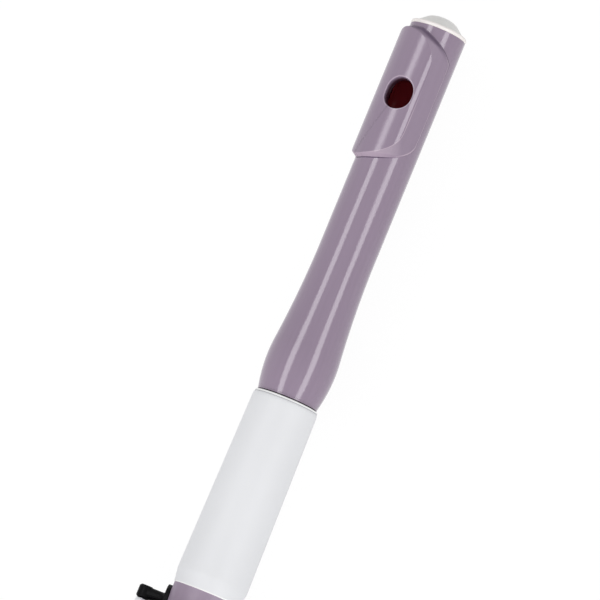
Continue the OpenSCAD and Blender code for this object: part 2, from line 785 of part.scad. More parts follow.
// Keys under the flute
thumb_meet = at_thumb + cup_r(hole_r);
module thumb_key() {
    d0 = thumb_posts[0] + post_step;
    d1 = thumb_meet - end_play / 2;
    touch_z = cup_z - touch_t - cup_dish / 2;
    color(white)
        swung(thumb_a, main_r, key_lift)
        difference() {
            union() {
                key_blank(at_thumb, -thumb_turn, hole_r, hinge_turn, main_r, d0, d1);
                along(at_thumb)
                    turned(-thumb_turn)
                    translate([cup_r(hole_r) - cup_edge + touch_length / 2, 0, touch_z])
                    touch(touch_length + 2 * cup_edge, touch_width);
            }
            key_cuts(at_thumb, -thumb_turn, hole_r, hinge_turn, main_r, d0, d1);
        }
}
module thumb_pad() color(pad_white)
    swung(thumb_a, main_r, key_lift)
    along(at_thumb)
    turned(-thumb_turn)
    pad(hole_r);
module thumb_b_flat_lever() {
    plate = touch_width / 2;
    plate_at = at_thumb + cup_r(hole_r) + touch_length + plate + 2 * end_play;
    d0 = thumb_meet + end_play / 2;
    d1 = thumb_posts[1] - post_step;
    color(white)
        swung(thumb_a, main_r, key_lift)
        difference() {
            union() {
                along(plate_at)
                    turned(-thumb_turn) {
                        translate([0, 0, cup_z - touch_t]) touch(touch_width + through / 100, touch_width);
                        arm(hinge_turn, main_r, plate, arm_narrow + end_play, arm_narrow);
                    }
                hinge_tube(d0, d1, thumb_a, main_r);
            }
            hinge_bore(d0, d1, thumb_a, main_r);
        }
}
module g_sharp_key() {
    d0 = g_sharp_posts[0] + post_step;
    d1 = g_sharp_posts[1] - post_step;
    far = cup_z - arm_t / 2;
    root = [far * sin(g_sharp_turn) - cup_r(hole_r) * cos(g_sharp_turn) * 0.7,
        far * cos(g_sharp_turn) + cup_r(hole_r) * sin(g_sharp_turn) * 0.7];
    tip = [root[0] + touch_width, root[1] + touch_width / 2];
    color(white)
        difference() {
            union() {
                along(at_g_low) {
                    turned(g_sharp_turn) {
                        cup_blank(hole_r);
                        mirror([0, 1, 0]) arm(hinge_turn, main_r, cup_r(hole_r));
                    }
                    upright(arm_wide) bar2d(root, tip, arm_t);
                    translate([-touch_length / 2 + arm_wide / 2, tip[0], tip[1] - touch_t / 2])
                        touch(touch_length + arm_wide, touch_width);
                }
                hinge_tube(d0, d1, g_sharp_a, main_r);
            }
            along(at_g_low) turned(g_sharp_turn) pad_room(hole_r);
            hinge_bore(d0, d1, g_sharp_a, main_r);
        }
}
module g_sharp_pad() color(pad_white) along(at_g_low) turned(g_sharp_turn) pad(hole_r);

// Trill keys: a tube and, inside it, a rod that carries the other key
trill_y = trill_r * sin(trill_a);
trill_z = trill_r * cos(trill_a);
trill_tip = [trill_y - touch_width - hinge_tube_r, trill_z + touch_width / 2];
trill_split = (at_d_sharp_trill + at_d_trill) / 2;
module trill_touch(d)
    along(d) {
        upright(arm_narrow) bar2d([trill_y, trill_z], trill_tip, arm_t);
        translate([0, trill_tip[0], trill_tip[1] - touch_t / 2])
            rotate([0, 0, 90])
            touch(touch_length, touch_width);
    }
module d_trill_key() {
    d0 = trill_split + end_play / 2;
    d1 = trill_posts_at[1] - post_step;
    color(white)
        difference() {
            union() {
                key_blank(at_d_trill, 0, small_hole_r, trill_turn, trill_r, d0, d1);
                trill_touch(d_touch);
            }
            key_cuts(at_d_trill, 0, small_hole_r, trill_turn, trill_r, d0, d1);
        }
}
module d_trill_pad() color(pad_white) along(at_d_trill) pad(small_hole_r);
module d_sharp_trill_key() {
    d0 = trill_posts_at[1] + post_step;
    d1 = trill_posts_at[2] - post_step;
    color(white) {
        simple_key(at_d_sharp_trill, 0, small_hole_r, trill_turn, trill_r,
            trill_posts_at[0] + post_step, trill_split - end_play / 2);
        difference() {
            union() {
                hinge_tube(d0, d1, trill_a, trill_r);
                trill_touch(d_sharp_touch);
            }
            hinge_bore(d0, d1, trill_a, trill_r);
        }
    }
}
module d_sharp_trill_rod() color(steel) rod(trill_posts_at[0], trill_posts_at[2], trill_a, trill_r);
module d_sharp_trill_pad() color(pad_white) along(at_d_sharp_trill) pad(small_hole_r);

// Foot joint
module foot_tube()
    color(mauve)
    difference() {
        union() {
            bar(foot_start + end_play, sounding_length, body_r);
            chimneys(foot_holes);
        }
        bar(foot_start, sounding_length + through, bore_r);
        bar(foot_start, foot_start + foot_tenon + end_play, foot_tenon_r + slide_gap);
        hole_cuts(foot_holes);
    }
module foot_rib() color(black) rib(foot_posts_at, main_a, main_r, foot_holes);
module foot_springs() color(steel) {
    spring(foot_posts_at[0], 1, main_a, main_r);
    spring(foot_posts_at[1], -1, main_a, main_r);
}
e_flat_span = [foot_posts_at[0] + post_step, foot_touch_at - end_play / 2];
c_touch_span = [foot_touch_at + end_play / 2, foot_touch_at + foot_touch_w];
cs_span = [foot_touch_at + foot_touch_w + end_play, (at_low_c_sharp + at_low_c) / 2 - end_play / 2];
low_c_span = [(at_low_c_sharp + at_low_c) / 2 + end_play / 2, foot_posts_at[1] - post_step];
main_y = main_r * sin(main_a);
main_z = main_r * cos(main_a);
module e_flat_key() {
    tip = [main_y - touch_width - hinge_tube_r, main_z + touch_width / 3];
    color(white)
        difference() {
            union() {
                key_blank(at_e_flat, 0, foot_hole_r, hinge_turn, main_r, e_flat_span[0], e_flat_span[1]);
                along(at_e_flat) {
                    upright(arm_wide) bar2d([main_y, main_z], tip, arm_t);
                    translate([touch_width / 4, tip[0], tip[1] - touch_t / 2])
                        touch(touch_length + touch_width / 2, touch_width);
                }
            }
            key_cuts(at_e_flat, 0, foot_hole_r, hinge_turn, main_r, e_flat_span[0], e_flat_span[1]);
        }
}
module e_flat_pad() color(pad_white) along(at_e_flat) pad(foot_hole_r);
// Touch on the cup side of the foot rod
module foot_paddle(span) {
    w = span[1] - span[0];
    tip = [-foot_hole_r, cup_z - touch_t / 2];
    along((span[0] + span[1]) / 2) {
        upright(w - 4 * end_play) bar2d([main_y, main_z], tip, arm_t);
        translate([0, tip[0], tip[1] - touch_t / 2]) rotate([0, 0, 90]) touch(touch_length, w - end_play);
    }
}
module low_c_sharp_key()
    color(white)
    swung(main_a, main_r, key_lift)
    difference() {
        union() {
            key_blank(at_low_c_sharp, 0, foot_hole_r, hinge_turn, main_r, cs_span[0], cs_span[1]);
            foot_paddle([cs_span[0], cs_span[0] + foot_touch_w]);
        }
        key_cuts(at_low_c_sharp, 0, foot_hole_r, hinge_turn, main_r, cs_span[0], cs_span[1]);
    }
module low_c_sharp_pad() color(pad_white) main_pad(at_low_c_sharp, foot_hole_r);
module low_c_key()
    color(white)
    swung(main_a, main_r, key_lift) {
        simple_key(at_low_c, 0, foot_hole_r, hinge_turn, main_r, low_c_span[0], low_c_span[1]);
        difference() {
            union() {
                hinge_tube(c_touch_span[0], c_touch_span[1], main_a, main_r);
                foot_paddle(c_touch_span);
            }
            hinge_bore(c_touch_span[0], c_touch_span[1], main_a, main_r);
        }
    }
module low_c_rod() color(steel) rod(foot_posts_at[0], foot_posts_at[1], main_a, main_r);
module low_c_pad() color(pad_white) main_pad(at_low_c, foot_hole_r);

head_tube();
lip_plate();
crown();
stopper();
stopper_o_ring();
tenon_o_rings();
barrel();
body_tube();
left_hand_rib();
right_hand_rib();
g_posts();
trill_posts();
thumb_rib();
g_sharp_rib();
left_hand_rod();
right_hand_rod();
g_rod();
thumb_rod();
g_sharp_rod();
needle_springs();
c_sharp_key();
c_sharp_pad();
b_flat_key();
b_flat_pad();
a_key();
a_pad();
g_key();
g_pads();
thumb_key();
thumb_pad();
thumb_b_flat_lever();
g_sharp_key();
g_sharp_pad();
f_sharp_key();
f_sharp_pad();
f_key();
f_pad();
e_key();
e_pad();
d_key();
d_pad();
d_trill_key();
d_trill_pad();
d_sharp_trill_key();
d_sharp_trill_rod();
d_sharp_trill_pad();
foot_tube();
foot_rib();
foot_springs();
e_flat_key();
e_flat_pad();
low_c_sharp_key();
low_c_sharp_pad();
low_c_key();
low_c_rod();
low_c_pad();
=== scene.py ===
"""Looks of a moulded plastic concert flute: head joint, barrel, body and foot joint with their keys.

X runs along the bore from head to foot, +Z is the side of the keys, -Y the player's side, and the origin
is on the bore axis at the open end of the foot. Pieces and patterns are sized in millimetres, the studio
in metres.
"""
import json

import bmesh
import bpy
import numpy as np
from mathutils import Matrix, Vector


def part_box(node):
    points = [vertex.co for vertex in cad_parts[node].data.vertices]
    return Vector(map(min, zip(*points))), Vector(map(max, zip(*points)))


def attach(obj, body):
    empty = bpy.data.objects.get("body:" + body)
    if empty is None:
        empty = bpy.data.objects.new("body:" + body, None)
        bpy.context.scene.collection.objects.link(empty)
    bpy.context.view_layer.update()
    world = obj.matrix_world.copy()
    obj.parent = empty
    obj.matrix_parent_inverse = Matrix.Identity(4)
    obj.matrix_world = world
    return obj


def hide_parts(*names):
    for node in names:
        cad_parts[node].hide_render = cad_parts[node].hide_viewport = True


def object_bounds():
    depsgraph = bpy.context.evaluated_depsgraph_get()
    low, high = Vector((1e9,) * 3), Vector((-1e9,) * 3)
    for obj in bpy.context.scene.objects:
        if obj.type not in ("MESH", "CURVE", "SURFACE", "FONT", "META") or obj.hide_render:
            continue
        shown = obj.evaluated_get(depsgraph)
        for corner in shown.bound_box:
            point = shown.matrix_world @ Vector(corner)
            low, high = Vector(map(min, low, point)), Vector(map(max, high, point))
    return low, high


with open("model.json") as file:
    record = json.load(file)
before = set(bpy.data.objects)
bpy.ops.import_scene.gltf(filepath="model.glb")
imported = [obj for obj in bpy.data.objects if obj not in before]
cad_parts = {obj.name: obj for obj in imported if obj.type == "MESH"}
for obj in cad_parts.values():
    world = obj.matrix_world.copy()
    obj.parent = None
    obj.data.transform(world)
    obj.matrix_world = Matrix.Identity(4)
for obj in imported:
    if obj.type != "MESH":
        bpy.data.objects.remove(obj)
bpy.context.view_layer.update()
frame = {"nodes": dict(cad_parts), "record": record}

# Head tube. One long ABS moulding, polished, with a swelling above the barrel and a tenon inside it.
# The embouchure hole is cut through its wall, and its bore is coloured dark red.
mm = 0.001
# A noise pattern lies mostly between these two values, so its colours change over them
noise_low, noise_high = 0.3, 0.7


def linear(code):
    """Linear colour of an sRGB hex code: c / 12.92 for dark values, else (c + 0.055) / 1.055, to the
    power 2.4."""
    c = np.array([int(code[i:i + 2], 16) for i in (1, 3, 5)]) / 255
    return (*np.where(c < 0.04045, c / 12.92, ((c + 0.055) / 1.055) ** 2.4), 1.0)


def add(tree, kind, sockets=(), **settings):
    """Adds one node. Settings are its own properties; sockets take a value or another node's output. A
    Mix node has its share at socket 0, numbers at 2 and 3 and colours at 6 and 7, and gives a colour at
    output 2. A MapRange node has its range at sockets 1 and 2, and what that becomes at 3 and 4."""
    node = tree.nodes.new("ShaderNode" + kind)
    for key, value in settings.items():
        setattr(node, key, value)
    for key, value in dict(sockets).items():
        if isinstance(value, bpy.types.NodeSocket):
            tree.links.new(value, node.inputs[key])
        else:
            node.inputs[key].default_value = value
    return node


def material(name):
    """An empty material, its node tree and its Object coordinates."""
    made = bpy.data.materials.new(name)
    made.use_nodes = True
    made.node_tree.nodes.clear()
    return made, made.node_tree, add(made.node_tree, "TexCoord").outputs["Object"]


def dress(finish, *names):
    """Gives CAD nodes a material."""
    for name in names:
        frame["nodes"][name].data.materials.clear()
        frame["nodes"][name].data.materials.append(finish)


def mauve_abs(name, low, high, rough):
    """Mauve ABS, moulded: an even colour with faint flow lines along the moulding and a very slight
    waviness of the skin. What lies nearer to the axis than bore_far is the bore. Attributes of the lip
    plate paint shade on the hole's wall, darker downward, paint highlights on the edges that stand proud,
    paint shadow on the wall at the crown end and on the bond's fillet, and dull the gloss. A near-black
    band of painted shadow lies on the tenon where it shows between the shoulder and the barrel."""
    flow_long, flow_wide, wave, bore_far = 60 * mm, 2 * mm, 8 * mm, 9.7 * mm
    # Where a near-black band of painted shadow lies on the tenon, where it shows between the shoulder ring
    # and the barrel's mouth, and its half width
    gap_shadow_at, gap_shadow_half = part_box("barrel")[0].x + 0.4 * mm, 0.21 * mm
    made, tree, place = material(name)
    flow_scale = (1 / flow_long, 1 / flow_wide, 1 / flow_wide)
    flow = add(tree, "Mapping", {"Vector": place, "Scale": flow_scale}).outputs[0]
    streaks = add(tree, "TexNoise", {"Vector": flow, "Scale": 1.0, "Detail": 3.0}).outputs[0]
    waves = add(tree, "TexNoise", {"Vector": place, "Scale": 1 / wave, "Detail": 1.0}).outputs[0]
    across = add(tree, "VectorMath", {0: place, 1: (0.0, 1.0, 1.0)}, operation="MULTIPLY").outputs[0]
    radius = add(tree, "VectorMath", {0: across}, operation="LENGTH").outputs["Value"]
    inside = add(tree, "Math", {0: radius, 1: bore_far}, operation="LESS_THAN").outputs[0]
    painted_wall_shade, painted_highlight, painted_shadow_share, satin = (add(tree, "Attribute", attribute_name=key).outputs["Fac"]
                                   for key in ("shade", "painted_highlight", "painted_shadow", "satin"))
    along = add(tree, "SeparateXYZ", {0: place}).outputs[0]
    # 1 within that band of painted shadow along the bore, else 0
    painted_gap_shadow = add(tree, "Math", {0: along, 1: gap_shadow_at, 2: gap_shadow_half}, operation="COMPARE").outputs[0]
    streaked = add(tree, "MapRange", {0: streaks, 1: noise_low, 2: noise_high}).outputs[0]
    colour = add(tree, "Mix", {0: streaked, 6: linear(low), 7: linear(high)}, data_type="RGBA").outputs[2]
    # The tints lay on the bore's dark red, then painted shade in the hole, painted highlights, painted
    # shadow on the lip plate and the painted shadow of the gap at the barrel
    tints = {"#a8323a": inside, "#40222e": painted_wall_shade, "#cdb9c8": painted_highlight, "#4a3355": painted_shadow_share, "#0c080d": painted_gap_shadow}
    for tint, share in tints.items():
        colour = add(tree, "Mix", {0: share, 6: colour, 7: linear(tint)}, data_type="RGBA").outputs[2]
    # Under the painted shade and the painted shadow of the gap the gloss is weaker too
    painted_dark = add(tree, "Math", {0: painted_wall_shade, 1: painted_gap_shadow}, operation="MAXIMUM").outputs[0]
    shine = add(tree, "MapRange", {0: painted_dark, 3: 0.5, 4: 0.12}).outputs[0]
    gloss = add(tree, "MapRange", {0: streaks, 3: rough, 4: rough + 0.04}).outputs[0]
    gloss = add(tree, "Math", {0: gloss, 1: satin}, operation="ADD").outputs[0]
    relief = add(tree, "Bump", {"Height": waves, "Strength": 0.03, "Distance": 0.2 * mm}).outputs[0]
    shader = add(tree, "BsdfPrincipled", {
        "Base Color": colour, "Roughness": gloss, "Normal": relief, "IOR": 1.54,
        "Specular IOR Level": shine})
    add(tree, "OutputMaterial", {0: shader.outputs[0]})
    return made


# Polishing leaves the head a clear gloss
mauve = mauve_abs("mauve_abs_polished", "#948297", "#98869b", 0.1)
dress(mauve, "head_tube")

# Lip plate. Mauve ABS like the tube, moulded as a saddle and bonded to it, with the chimney of the
# embouchure hole in one piece. On the listener's side a bevel and then a flat run down from the round
# rest to the tube.
plate_r, tube_r, bore_r = 12.5, 10.34, 8.6


def outline(x0, x1, a0, a1, corners):
    """Closed outline in distance along the tube and angle round it in degrees. Each corner is a quarter
    ellipse with half-axes (dx, da), drawn toward its chord by a share; straight sides join the corners.
    Angles become mm of arc."""
    t = np.linspace(0, np.pi / 2, 40)
    s, c, ramp = np.sin(t), np.cos(t), t / (np.pi / 2)
    path = []
    for k, (dx, da, cut) in enumerate(corners):
        way = [(-c, s), (s, c), (c, -s), (-s, -c)][k]
        middle = [(x0 + dx, a1 - da), (x1 - dx, a1 - da), (x1 - dx, a0 + da), (x0 + dx, a0 + da)][k]
        arc = np.stack([middle[0] + dx * way[0], middle[1] + da * way[1]], 1)
        chord = arc[:1] + (arc[-1:] - arc[:1]) * ramp[:, None]
        path.append(arc * (1 - cut) + chord * cut)
    return np.concatenate(path) * (1, np.radians(1) * plate_r)


def evenly(path, count):
    """Points at equal steps along a closed path."""
    loop = np.concatenate([path, path[:1]])
    run = np.concatenate([[0], np.cumsum(np.hypot(*np.diff(loop, axis=0).T))])
    at = np.linspace(0, run[-1], count, endpoint=False)
    return np.stack([np.interp(at, run, loop[:, 0]), np.interp(at, run, loop[:, 1])], 1)


def reach(path, bearing):
    """Distance from the hole's middle to a closed path, seen at each bearing."""
    found = np.arctan2(path[:, 1], path[:, 0])
    order = np.argsort(found)
    far, found = np.hypot(*path.T)[order], found[order]
    around = np.concatenate([found - 2 * np.pi, found, found + 2 * np.pi])
    return np.interp(bearing, around, np.tile(far, 3))


# The crease ends the round rest, and the border ends the plate
columns = 600
crease_ends, crease_turns = (-24.45, 24.35), (-104, 34.5)
crease_corners = [(13.5, 70, 0), (12.2, 78, 0), (28, 66, 0), (19, 66, 0)]
border_ends, border_turns = (-25.3, 25.2), (-112, 73.5)
border_corners = [(8.6, 82, 0.72), (10, 120, 0.25), (28.5, 64, 0), (20, 72, 0)]
crease = evenly(outline(*crease_ends, *crease_turns, crease_corners), columns)
border = evenly(outline(*border_ends, *border_turns, border_corners), 4 * columns)
bearing = np.arctan2(crease[:, 1], crease[:, 0])
heading = np.stack([np.cos(bearing), np.sin(bearing)], 1)
crease_far = np.hypot(*crease.T)
border_far = reach(border, bearing)

# The hole is a circle drawn out along the tube by hole_side each way. The plate lines it to the bore.
hole_x, hole_half, hole_side, hole_edge, lining = -600.0, 5.0, 0.9, 0.35, 0.06
lean_x, lean_y, widening = 0.27, 0.2, 0.1
wall_foot = bore_r + 0.03


def fade(value, start, end):
    """0 up to the start, 1 from the end on and a straight ramp between them. Either may be the
    greater."""
    return np.clip((value - start) / (end - start), 0, 1)


def hole_line(grow, r):
    """The hole's outline where it meets a distance r from the bore axis, grown by a width. Through the
    plate the hole leans slightly toward the crown and the player and becomes a little wider."""
    turn = np.linspace(0, 2 * np.pi, 1440, endpoint=False)
    rise = fade(r, tube_r, plate_r)
    x = np.cos(turn) * (hole_half + grow) + np.sign(np.cos(turn)) * hole_side - lean_x * rise
    y = np.sin(turn) * (hole_half + grow + widening * rise) - lean_y * rise
    return heading * reach(np.stack([x, np.arcsin(y / r) * plate_r], 1), bearing)[:, None]


def on_tube(flat, r):
    """Points of the plate: flat holds distance along the tube and arc, r the distance from the bore
    axis."""
    a = flat[..., 1] / plate_r
    return np.stack([flat[..., 0] + hole_x, r * np.sin(a), r * np.cos(a)], -1)


def soft_min(a, b, width):
    """The lesser of two heights, with the edge between them rounded over a width."""
    h = np.clip(0.5 + 0.5 * (b - a) / width, 0, 1)
    return b + (a - b) * h - width * h * (1 - h)


# A plane is followed no further than widest, in radians, from the way that it faces, and the bevel's plane
# counts only from bevel_before ahead of its start
widest, bevel_before = 1.2, 0.2
bevel_turn, bevel_start, bevel_round = np.radians(41), np.radians(25.6), 0.06
flat_turn, flat_far, flat_round = np.radians(62.7), 10.53, 0.2
wall_slope, wall_change, change_over, wall_round = 1.3, 0.3, 8.0, 0.3
apron_slope, border_step, crease_round = 0.18, 0.2, 0.02


def plate_height(flat, past, left):
    """Distance from the axis, given the distances past the crease and left to the border. The rest is
    round and ends in a flat bevel; a plane at a distance p, facing an angle b, lies p / cos(b - a) from
    the axis at an angle a. Past the crease the lowest of a flat, an apron that slopes gently and a wall
    that rises from the border takes over; the wall is steeper at the foot end than at the crown end, and
    never so gentle that it cuts into the rest."""
    a = flat[:, 1] / plate_r
    bevel = plate_r * np.cos(bevel_turn - bevel_start) / np.cos(np.clip(bevel_turn - a, -widest, widest))
    bevel = np.where(a < bevel_start - bevel_before, plate_r + 1, bevel)
    rest = soft_min(np.full_like(a, plate_r), bevel, bevel_round)
    flat_side = flat_far / np.cos(np.clip(flat_turn - a, -widest, widest))
    apron = soft_min(flat_side, rest - apron_slope * past, flat_round)
    gentlest = (plate_r - tube_r - border_step) / (past + left)
    steep = np.maximum(wall_slope + wall_change * np.tanh(flat[:, 0] / change_over), gentlest)
    wall = tube_r + border_step + steep * left
    return soft_min(rest, soft_min(apron, wall, wall_round), crease_round)


def skin(name, rows, close_rows=False):
    """Mesh of quads over a grid of points in mm whose columns run round a closed loop. Points that meet
    are merged."""
    n, m = rows.shape[:2]
    i, j = np.meshgrid(np.arange(n if close_rows else n - 1), np.arange(m), indexing="ij")
    i1, j1 = (i + 1) % n, (j + 1) % m
    faces = np.stack([i * m + j, i * m + j1, i1 * m + j1, i1 * m + j], -1).reshape(-1, 4)
    mesh = bpy.data.meshes.new(name)
    mesh.from_pydata((rows.reshape(-1, 3) * mm).tolist(), [], faces.tolist())
    shape = bmesh.new()
    shape.from_mesh(mesh)
    bmesh.ops.remove_doubles(shape, verts=shape.verts, dist=1e-7)
    bmesh.ops.recalc_face_normals(shape, faces=shape.faces)
    shape.to_mesh(mesh)
    shape.free()
    mesh.shade_smooth()
    piece = bpy.data.objects.new(name, mesh)
    bpy.context.scene.collection.objects.link(piece)
    return piece


def mark(piece, key, share):
    """Gives each point of a piece a share from 0 to 1, which its material reads by name."""
    made = piece.data.attributes.new(key, "FLOAT", "POINT")
    made.data.foreach_set("value", np.ravel(share).astype(np.float32))


def fit(piece, finish, body, slot, *nodes):
    """Gives a new piece its material and its body, and hides the CAD nodes it stands for. The slot is not
    used.
    """
    piece.data.materials.append(finish)
    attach(piece, body)
    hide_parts(*nodes)


# Rows of points from the foot of the hole's wall up over its rounded edge, out over the rest and the
# apron to the border, down over the fillet of the bond and back to the hole under the surface of the tube
rows = [on_tube(hole_line(grow, bore_r), wall_foot) for grow in (hole_edge, -lining)]
rows += [on_tube(hole_line(-lining, r), r) for r in np.linspace(wall_foot, plate_r - hole_edge, 9)[1:]]
for turn in np.radians(np.arange(15, 91, 15)):
    r = plate_r - hole_edge * (1 - np.sin(turn))
    rows.append(on_tube(hole_line((hole_edge + lining) * (1 - np.cos(turn)) - lining, r), r))
walls = len(rows)
rim_far = np.hypot(*hole_line(hole_edge, plate_r).T)
rest_shares = 1 - np.linspace(1, 0, 34)[1:] ** 1.5
rim_wide = 0.15
rest_fars = [rim_far + rim_wide, *(rim_far + (crease_far - rim_far) * share for share in rest_shares)]
apron_shares = np.linspace(0, 1, 37)[1:]
apron_fars = [crease_far * (1 - share) + border_far * share for share in apron_shares]
for far in rest_fars + apron_fars:
    flat = heading * far[:, None]
    rows.append(on_tube(flat, plate_height(flat, far - crease_far, border_far - far)))
edge_row, bond_row = walls + len(rest_fars) - 1, len(rows)
bond_start, bond_wide, bond_high, sunk = 0.06, 0.35, 0.05, 0.2
for more, height in ((bond_start, bond_high), (bond_wide, bond_high), (bond_wide, -sunk)):
    rows.append(on_tube(heading * (border_far[:, None] + more), tube_r + height))
rows.append(on_tube(hole_line(hole_edge, tube_r), tube_r - sunk))
rows = np.stack(rows)
lip_plate = skin("lip_plate_saddle", rows, close_rows=True)

# Where the finish changes: painted shade darkens the hole's wall downward, painted highlights lie on the
# edges that stand proud, most of all toward the foot and the listener, painted shadow darkens the wall at
# the crown end and the bond's fillet, and the apron is duller than the rest
wall_dark, wall_darkest = plate_r - 0.3, plate_r - 1.9
rest_satin, apron_satin = 0.08, 0.45
rim_highlight, beside_crease, end_highlight, border_highlight = 0.42, 0.5, 0.38, 0.65
crown_wall_shadow, crown_fillet_shadow = 0.75, 0.3
crease_x, crease_arc = crease.T
border_x, border_turn = (heading * border_far[:, None] / (1, plate_r)).T
shade, painted_highlight, painted_shadow, satin = np.zeros((4, *rows.shape[:2]))
# Painted shade on the hole's wall, darker downward
shade[:walls] = fade(np.hypot(rows[:walls, :, 1], rows[:walls, :, 2]), wall_dark, wall_darkest)
satin[:] = rest_satin
satin[edge_row + 1:bond_row] = apron_satin
# Painted highlights on the hole's rim, along the crease toward the foot and the listener, on the wall at
# the foot end and along the border on the listener's side
painted_highlight[walls - 3:walls] = rim_highlight
along_crease = fade(crease_x, -4, 8) * fade(crease_arc, -6, 0)
painted_highlight[edge_row - 1:edge_row + 2] = np.outer([beside_crease, 1, beside_crease], along_crease)
painted_highlight[edge_row + 2:bond_row] = end_highlight * fade(crease_x, 14, 22)
along_border = border_highlight * fade(rows[bond_row, :, 1], 4, 8) * fade(border_x, -20, -14)
painted_highlight[bond_row - 2:bond_row] = np.maximum(painted_highlight[bond_row - 2:bond_row], along_border)
left = (border_far - crease_far) * (1 - apron_shares[:, None])
# Painted shadow on the wall at the crown end and along the bond's fillet under the border
painted_shadow[edge_row + 1:bond_row] = crown_wall_shadow * fade(left, 1.9, 0.7) * fade(crease_x, -9, -18)
painted_shadow[bond_row:bond_row + 2] = np.where(border_x > 0, fade(np.degrees(border_turn), 40, 10), crown_fillet_shadow)
for key, share in (("shade", shade), ("painted_highlight", painted_highlight), ("painted_shadow", painted_shadow), ("satin", satin)):
    mark(lip_plate, key, share)
fit(lip_plate, mauve, "head", "mauve_plastic", "lip_plate")

# Crown. A white ABS cap, moulded in one as a flange with a soft bell on it. It is screwed on the
# stopper's stem and stands on the end of the tube. The bell's points are radius and height above the
# tube's end.
tube_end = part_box("head_tube")[0].x / mm
bell = np.array([(0, 5.85), (1.4, 5.8), (2.8, 5.6), (4.2, 5.22), (5.3, 4.72), (6.2, 4.06), (7.1, 3.28),
                 (8.1, 2.46), (9.2, 1.74), (9.9, 1.51), (10.2, 1.42), (10.35, 1.25), (10.35, 0.3),
                 (10.22, 0.06), (9.95, 0)])
flange_top, flange_full = tube_end - 1.8, tube_end - 1.55


def smooth_line(points, count):
    """Smooth line through points: a cubic between each pair, its slope at a point that of the chords
    beside it."""
    step = np.concatenate([[0], np.cumsum(np.hypot(*np.diff(points, axis=0).T))])
    slope = np.gradient(points, step, axis=0)
    at = np.linspace(0, step[-1], count)
    k = np.clip(np.searchsorted(step, at, side="right") - 1, 0, len(step) - 2)
    h = (step[k + 1] - step[k])[:, None]
    u = (at - step[k])[:, None] / h
    return ((1 + 2 * u) * (1 - u) ** 2 * points[k] + u * (1 - u) ** 2 * h * slope[k]
            + u ** 2 * (3 - 2 * u) * points[k + 1] + u ** 2 * (u - 1) * h * slope[k + 1])


def lathe(profile):
    """Turns a profile of radius and distance along the bore round the bore axis, in 160 steps."""
    a = np.linspace(0, 2 * np.pi, 160, endpoint=False)
    r, x = profile[:, :1], profile[:, 1:]
    return np.stack([x + 0 * a, r * np.sin(a), r * np.cos(a)], -1)


def white_abs(name, low, high, edge, rough):
    """White ABS, moulded: a satin white with a trace of grey in slow clouds and a fine orange-peel skin.
    Its moulded edges are slightly rounded, where light catches them. Attributes paint highlights, in the
    edge colour, on the barrel's bead and lower lip and on the crown's flange, and paint shade in a groove."""
    cloud, peel, edge_round = 20 * mm, 1.2 * mm, 0.25 * mm
    made, tree, place = material(name)
    clouds = add(tree, "TexNoise", {"Vector": place, "Scale": 1 / cloud, "Detail": 2.0}).outputs[0]
    pits = add(tree, "TexNoise", {"Vector": place, "Scale": 1 / peel, "Detail": 2.0}).outputs[0]
    gloss = add(tree, "MapRange", {0: clouds, 3: rough, 4: rough + 0.08}).outputs[0]
    soft = add(tree, "Bevel", {"Radius": edge_round}, samples=4).outputs[0]
    bump = {"Height": pits, "Strength": 0.05, "Distance": 0.1 * mm, "Normal": soft}
    relief = add(tree, "Bump", bump).outputs[0]
    clouded = add(tree, "MapRange", {0: clouds, 1: noise_low, 2: noise_high}).outputs[0]
    colour = add(tree, "Mix", {0: clouded, 6: linear(low), 7: linear(high)}, data_type="RGBA").outputs[2]
    for key, tint in (("bead", edge), ("groove", "#a3a4aa")):
        share = add(tree, "Attribute", attribute_name=key).outputs["Fac"]
        colour = add(tree, "Mix", {0: share, 6: colour, 7: linear(tint)}, data_type="RGBA").outputs[2]
    shader = add(tree, "BsdfPrincipled", {
        "Base Color": colour, "Roughness": gloss, "Normal": relief, "IOR": 1.54})
    add(tree, "OutputMaterial", {0: shader.outputs[0]})
    return made


# The cream's edge colour is a painted highlight on the crown's flange
cream = white_abs("cream_abs_satin", "#eeedeb", "#f1f0ee", "#fff9f6", 0.45)
line = np.concatenate([smooth_line(bell, 90), [(0, 0)]])
crown = skin("crown_cap", lathe(np.stack([line[:, 0], tube_end - line[:, 1]], 1)))
points = np.zeros(len(crown.data.vertices) * 3, np.float32)
crown.data.vertices.foreach_get("co", points)
# Painted highlight: the flange takes the lighter edge colour, the bell does not
mark(crown, "bead", fade(points[::3] / mm, flange_top, flange_full))
fit(crown, cream, "crown", "white_plastic", "crown")

# Stopper and rubber rings. The stopper is white ABS with a threaded stem, and the rings on it and on the
# tenon are black nitrile rubber, stretched into grooves. They stay inside the head and the barrel.
# The white's edge colour is a painted highlight on the barrel's bead and lower lip
white = white_abs("white_abs_satin", "#ecedf0", "#eff0f3", "#ffffff", 0.55)
dress(white, "stopper")

# The rubber is dull, with a dusty bloom in patches of 1 mm
bloom_wide = 1 * mm
rubber, tree, place = material("black_nitrile_rubber")
bloom = add(tree, "TexNoise", {"Vector": place, "Scale": 1 / bloom_wide, "Detail": 3.0}).outputs[0]
relief = add(tree, "Bump", {"Height": bloom, "Strength": 0.15, "Distance": 0.1 * mm}).outputs[0]
dusty = add(tree, "MapRange", {0: bloom, 1: noise_low, 2: noise_high}).outputs[0]
tones = {6: linear("#202024"), 7: linear("#2f2f34")}
colour = add(tree, "Mix", {0: dusty, **tones}, data_type="RGBA").outputs[2]
shader = add(tree, "BsdfPrincipled", {
    "Base Color": colour, "Roughness": 0.62, "Normal": relief, "IOR": 1.52})
add(tree, "OutputMaterial", {0: shader.outputs[0]})
dress(rubber, "stopper_o_ring", "tenon_o_rings")

